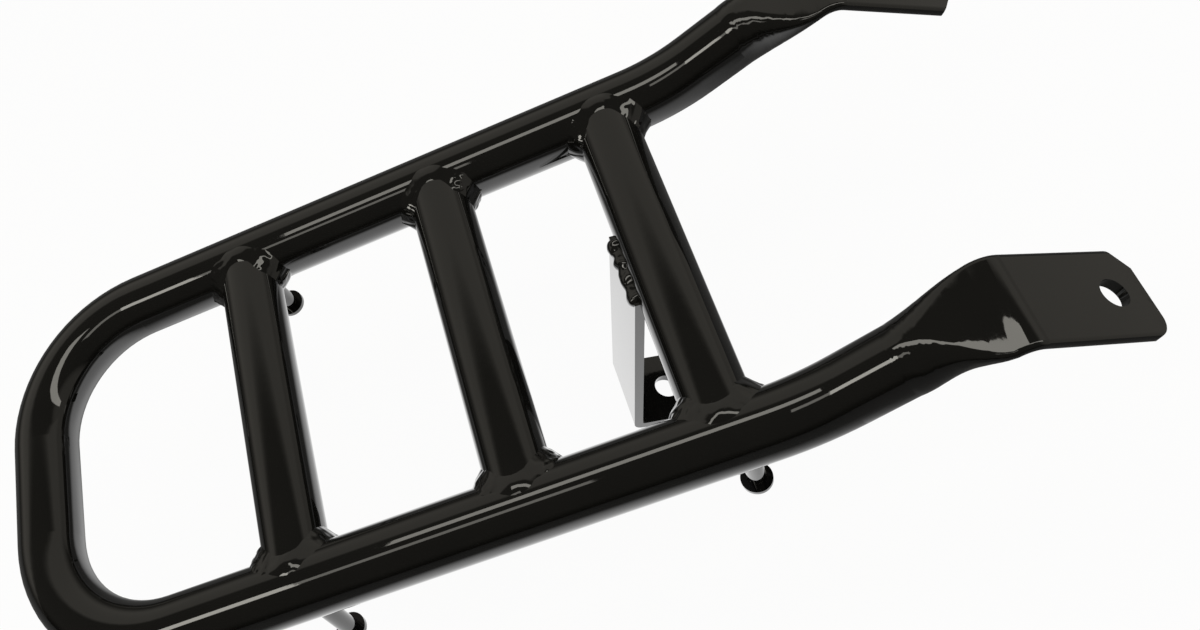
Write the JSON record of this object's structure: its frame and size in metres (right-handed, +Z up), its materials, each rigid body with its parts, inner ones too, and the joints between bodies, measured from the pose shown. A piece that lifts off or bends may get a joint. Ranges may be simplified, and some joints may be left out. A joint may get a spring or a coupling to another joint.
{
  "type": "motorcycle luggage rack",
  "caption": "Welded tube luggage rack: a bent hoop with coped crossbars, flattened and folded bolting tabs, a folded bracket below and headed pegs for straps.",
  "frame": {"origin": "on the carrying plane, the common top of the crossbars, at the middle of the middle crossbar", "axes": "+X along the rails to the bolting tabs at the front, +Y to the left, +Z up off the carrying plane"},
  "size_m": [0.326, 0.1456, 0.1111],
  "materials": {
    "gloss_black_coat": "gloss black stove enamel over welded steel"
  },
  "bodies": {
    "root": {"main_hoop": "gloss_black_coat", "rear_crossbar": "gloss_black_coat", "middle_crossbar": "gloss_black_coat", "front_crossbar": "gloss_black_coat", "mounting_bracket": "gloss_black_coat", "rear_left_weld": "gloss_black_coat", "rear_right_weld": "gloss_black_coat", "middle_left_weld": "gloss_black_coat", "middle_right_weld": "gloss_black_coat", "front_left_weld": "gloss_black_coat", "front_right_weld": "gloss_black_coat", "bracket_rear_weld": "gloss_black_coat", "bracket_front_weld": "gloss_black_coat", "rear_left_peg": "gloss_black_coat", "rear_left_peg_weld": "gloss_black_coat", "rear_right_peg": "gloss_black_coat", "rear_right_peg_weld": "gloss_black_coat", "front_left_peg": "gloss_black_coat", "front_left_peg_weld": "gloss_black_coat", "front_right_peg": "gloss_black_coat", "front_right_peg_weld": "gloss_black_coat"}
  },
  "joints": []
}
